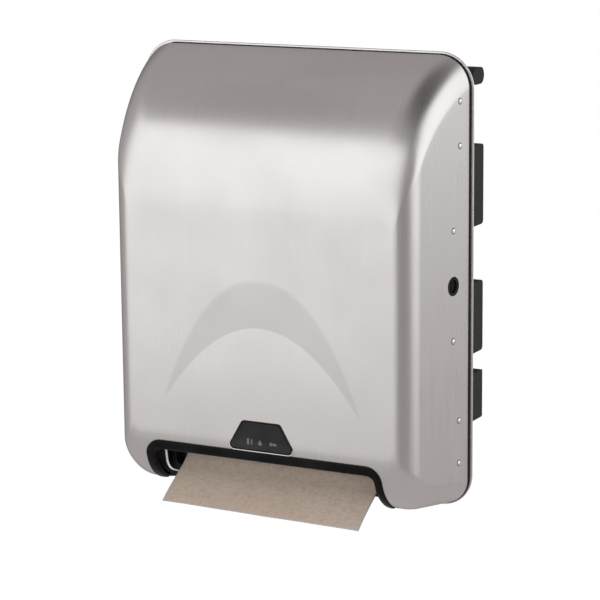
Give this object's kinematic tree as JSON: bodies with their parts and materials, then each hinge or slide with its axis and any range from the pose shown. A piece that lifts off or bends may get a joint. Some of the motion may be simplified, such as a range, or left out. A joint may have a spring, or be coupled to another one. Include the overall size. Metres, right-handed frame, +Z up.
{
  "type": "recessed paper towel dispenser",
  "caption": "Recessed touch-free roll towel dispenser: curved brushed steel cover on a side hinge, wall flange, black in-wall housing, sensor window, towel hanging from the slot.",
  "frame": {"origin": "centre of the wall flange's back face, on the wall's surface", "axes": "+X to the right as one faces the dispenser, +Y into the wall, +Z up; the towel leaves towards -Y and -Z"},
  "size_m": [0.338, 0.2101, 0.4206],
  "materials": {
    "stainless": "vertical brushed grain",
    "zinc_steel": "plain zinc-plated sheet",
    "black_housing": "fine texture",
    "black_trim": "satin",
    "dark_grey": "fine texture",
    "mid_grey": "fine texture",
    "window_black": "glossy, smoked",
    "icon_white": "printed mark",
    "rubber": "matt",
    "gear_white": "natural acetal",
    "towel": "unbleached, embossed",
    "card": "plain",
    "board_green": "solder mask",
    "component_black": "moulded",
    "brass": "plain",
    "cell_jacket": "printed sleeve, plain",
    "button_blue": "plain"
  },
  "bodies": {
    "frame": {"wall_flange": "stainless", "frame_straps": "zinc_steel", "strap_screws": "zinc_steel", "rear_housing": "black_housing", "housing_lugs_left": "black_housing", "housing_lugs_right": "black_housing", "hinge_bracket_upper": "zinc_steel", "hinge_bracket_lower": "zinc_steel", "strike_bracket": "zinc_steel", "strike_pin": "zinc_steel", "side_frame_left": "zinc_steel", "side_frame_right": "zinc_steel", "frame_spacers": "black_housing", "mechanism_cover": "dark_grey", "battery_box": "black_housing", "battery_cells": "cell_jacket", "battery_contacts": "brass", "control_board": "board_green", "board_components": "component_black", "drive_motor": "zinc_steel", "gear_cover": "dark_grey", "idler_pin": "zinc_steel", "shaft_bushes": "brass", "outlet_chute": "black_trim", "tear_bar": "stainless", "arm_bracket_left": "zinc_steel", "arm_bracket_right": "zinc_steel", "arm_pins": "zinc_steel", "paper_towel": "towel"},
    "door": {"cover_shell": "stainless", "slot_trim": "black_trim", "sensor_window": "window_black", "indicator_icons": "icon_white", "sensor_housing": "black_housing", "sensor_board": "board_green", "hinge_leaves_upper": "zinc_steel", "hinge_leaves_lower": "zinc_steel", "hinge_pins": "zinc_steel", "lock_bracket": "zinc_steel", "side_stiffener": "zinc_steel", "edge_clips": "zinc_steel", "cover_rivets": "stainless", "lock_body": "black_trim"},
    "lock": {"lock_plug": "black_trim", "lock_cam": "zinc_steel"},
    "roll": {"paper_roll": "towel", "roll_core": "card"},
    "arm_left": {"roll_arm_left": "mid_grey"},
    "arm_right": {"roll_arm_right": "mid_grey"},
    "drive": {"drive_shaft": "black_trim", "drive_sleeves": "rubber", "drive_gear": "gear_white"},
    "pinch": {"pinch_shaft": "black_trim", "pinch_sleeves": "rubber"},
    "idler": {"idler_gear": "gear_white"},
    "pinion": {"motor_pinion": "brass"},
    "battery_slide": {"battery_cover": "mid_grey"},
    "button": {"feed_button": "button_blue"},
    "switch": {"length_switch": "button_blue"}
  },
  "joints": [
    {"name": "cover_hinge", "type": "hinge", "parent": "frame", "child": "door", "pos_m": [-0.156, -0.024, 0.0025], "axis": [0, 0, -1], "range_deg": [0, 100]},
    {"name": "lock_turn", "type": "hinge", "parent": "door", "child": "lock", "pos_m": [0.16186, -0.0275, 0.0025], "axis": [-0.9848, 0.1736, 0], "range_deg": [0, 90]},
    {"name": "roll_spin", "type": "hinge", "parent": "frame", "child": "roll", "pos_m": [0, 0.003, 0.075], "axis": [1, 0, 0], "continuous": true},
    {"name": "drive_spin", "type": "hinge", "parent": "frame", "child": "drive", "pos_m": [0, -0.0371, -0.1351], "axis": [1, 0, 0], "continuous": true},
    {"name": "pinch_spin", "type": "hinge", "parent": "frame", "child": "pinch", "pos_m": [0, -0.01706, -0.14812], "axis": [1, 0, 0], "continuous": true},
    {"name": "idler_spin", "type": "hinge", "parent": "frame", "child": "idler", "pos_m": [0.1275, -0.00991, -0.12242], "axis": [1, 0, 0], "continuous": true},
    {"name": "pinion_spin", "type": "hinge", "parent": "frame", "child": "pinion", "pos_m": [0.1275, 0.00483, -0.1121], "axis": [1, 0, 0], "continuous": true},
    {"name": "arm_left_swing", "type": "hinge", "parent": "frame", "child": "arm_left", "pos_m": [-0.108, 0.003, -0.01], "axis": [0, -1, 0], "range_deg": [0, 8], "stiffness_Nm_per_rad": 1},
    {"name": "arm_right_swing", "type": "hinge", "parent": "frame", "child": "arm_right", "pos_m": [0.108, 0.003, -0.01], "axis": [0, 1, 0], "range_deg": [0, 8], "stiffness_Nm_per_rad": 1},
    {"name": "battery_cover_slide", "type": "slide", "parent": "frame", "child": "battery_slide", "axis": [1, 0, 0], "range_m": [0, 0.06]},
    {"name": "feed_button_press", "type": "slide", "parent": "frame", "child": "button", "axis": [0, 1, 0], "range_m": [0, 0.0025], "stiffness_N_per_m": 300},
    {"name": "length_switch_slide", "type": "slide", "parent": "frame", "child": "switch", "axis": [1, 0, 0], "range_m": [0, 0.006]}
  ],
  "couplings": [
    {"joint": "drive_spin", "follows": "roll_spin", "ratio": -6.6429},
    {"joint": "pinch_spin", "follows": "roll_spin", "ratio": 10.333},
    {"joint": "idler_spin", "follows": "roll_spin", "ratio": 9.9643},
    {"joint": "pinion_spin", "follows": "roll_spin", "ratio": -19.929}
  ]
}
